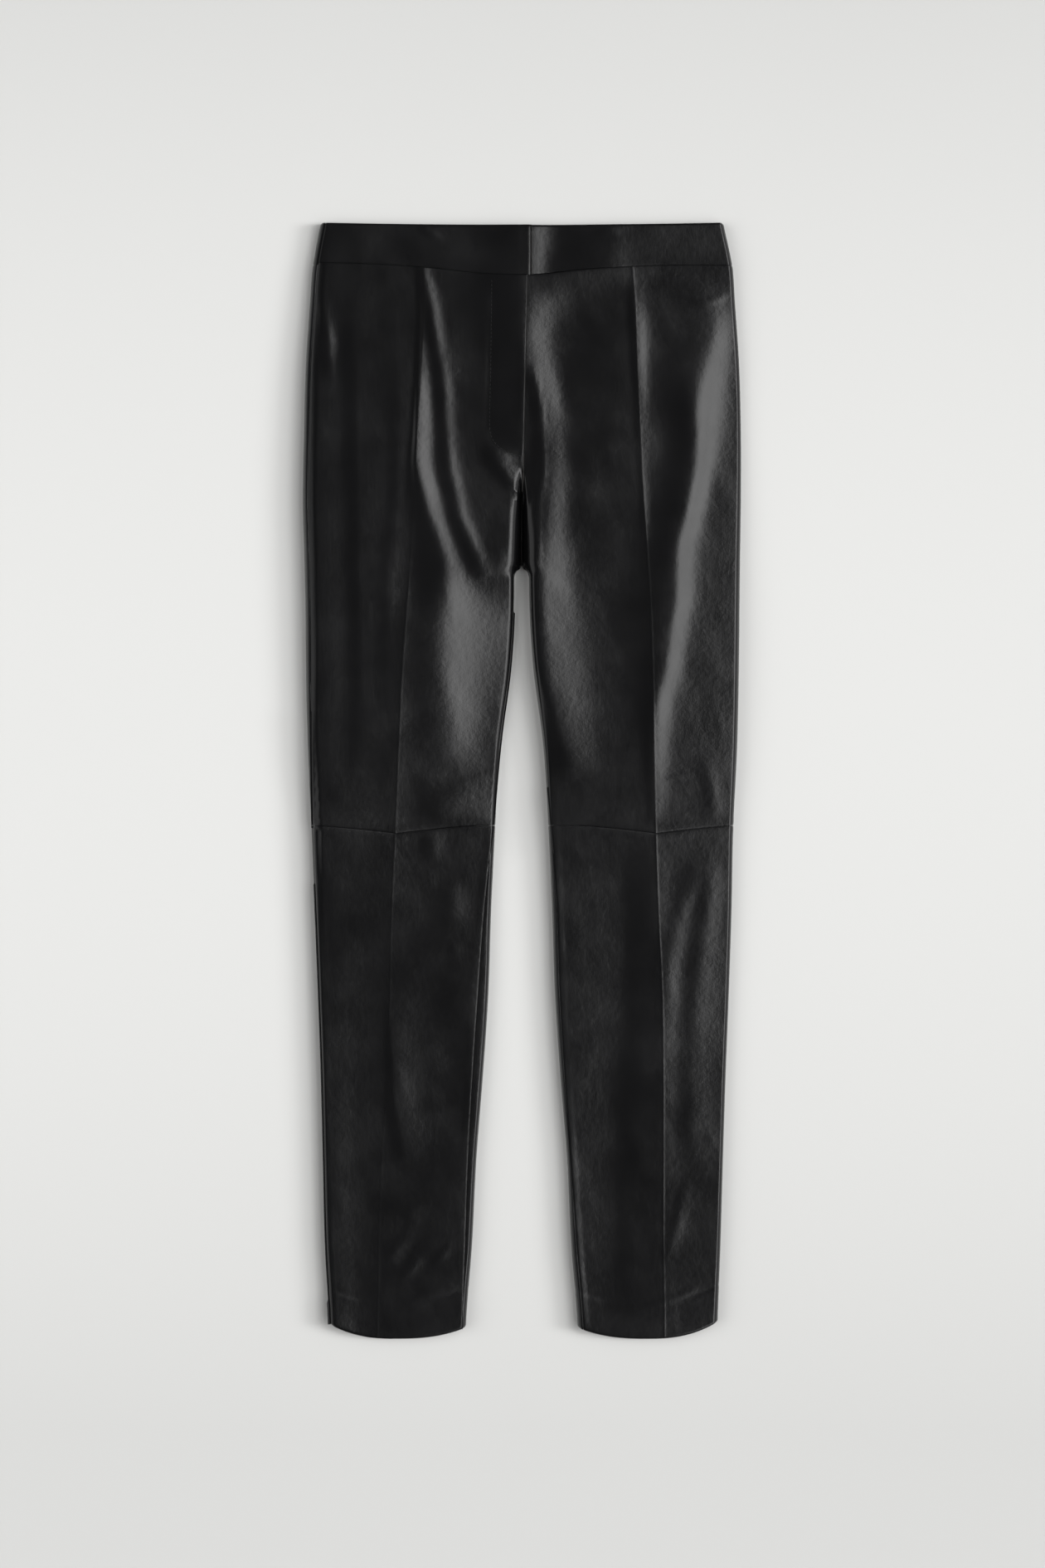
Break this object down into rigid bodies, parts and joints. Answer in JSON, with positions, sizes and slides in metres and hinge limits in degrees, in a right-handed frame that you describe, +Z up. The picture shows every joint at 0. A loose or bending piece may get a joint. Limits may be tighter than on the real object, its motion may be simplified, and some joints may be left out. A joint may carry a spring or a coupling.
{
  "type": "leather trousers",
  "caption": "Straight-leg black leather trousers laid flat, front up, with waistband, fly front, pressed creases, knee seams and turned-up hems.",
  "frame": {"origin": "on the surface the trousers lie on, at the middle of their outline", "axes": "+X towards the wearer's left, +Y from hems to waist, +Z up out of the front"},
  "size_m": [0.3965, 1.008, 0.0246],
  "materials": {
    "panel_leather": "black nappa, satin, fine grain",
    "band_leather": "black nappa, satin, folded double"
  },
  "bodies": {
    "root": {"front_thigh_r": "panel_leather", "front_thigh_l": "panel_leather", "front_shin_r": "panel_leather", "front_shin_l": "panel_leather", "back_thigh_r": "panel_leather", "back_thigh_l": "panel_leather", "back_shin_r": "panel_leather", "back_shin_l": "panel_leather", "waistband_front_r": "band_leather", "waistband_front_l": "band_leather", "waistband_back": "band_leather"}
  },
  "joints": []
}
